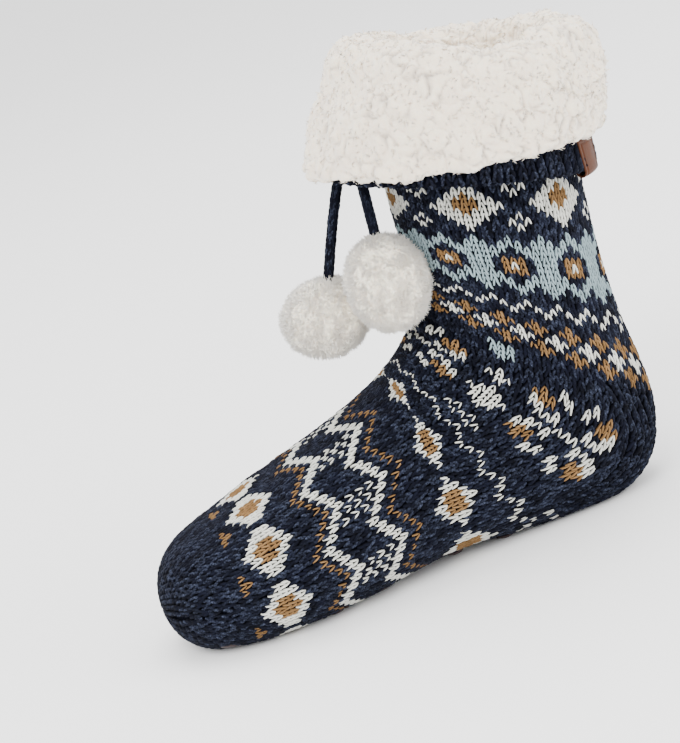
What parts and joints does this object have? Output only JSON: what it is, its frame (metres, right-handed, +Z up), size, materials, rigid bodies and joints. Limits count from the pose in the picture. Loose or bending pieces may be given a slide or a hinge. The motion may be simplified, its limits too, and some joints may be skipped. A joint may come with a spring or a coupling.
{
  "type": "slipper sock",
  "caption": "Knitted boot-shaped slipper sock with a turned-down fleece cuff, pompoms on cords, a leather tab and grips under the sole.",
  "frame": {"origin": "on the floor, at the middle of the underside of the grip under the heel's middle", "axes": "+Z up, -X towards the toe, -Y towards the sock's left side, where the leather tab is"},
  "size_m": [0.2724, 0.1311, 0.2441],
  "materials": {
    "knit": "chunky navy melange yarn with cream, light blue and ochre stranded patterns",
    "fleece": "thick off-white curly fleece pile",
    "leather": "smooth chestnut leather with a pressed line",
    "fur": "dense off-white cut pile",
    "cord": "knitted navy cord",
    "grip": "glossy dark brown silicone"
  },
  "bodies": {
    "root": {"fleece_cuff": "fleece", "grip_01": "grip", "grip_02": "grip", "grip_03": "grip", "grip_04": "grip", "grip_05": "grip", "grip_06": "grip", "grip_07": "grip", "grip_08": "grip", "grip_09": "grip", "grip_10": "grip", "grip_11": "grip", "grip_12": "grip", "grip_13": "grip", "grip_14": "grip", "grip_15": "grip", "grip_16": "grip", "grip_17": "grip", "grip_18": "grip", "grip_19": "grip", "grip_20": "grip", "grip_21": "grip", "grip_22": "grip", "grip_23": "grip", "grip_24": "grip", "grip_25": "grip", "grip_26": "grip", "grip_27": "grip", "grip_28": "grip", "grip_29": "grip", "grip_30": "grip", "grip_31": "grip", "grip_32": "grip", "grip_33": "grip", "knit_upper": "knit", "leather_tab": "leather", "pompom_cord_far": "cord", "pompom_cord_near": "cord", "pompom_far": "fur", "pompom_near": "fur"}
  },
  "joints": []
}
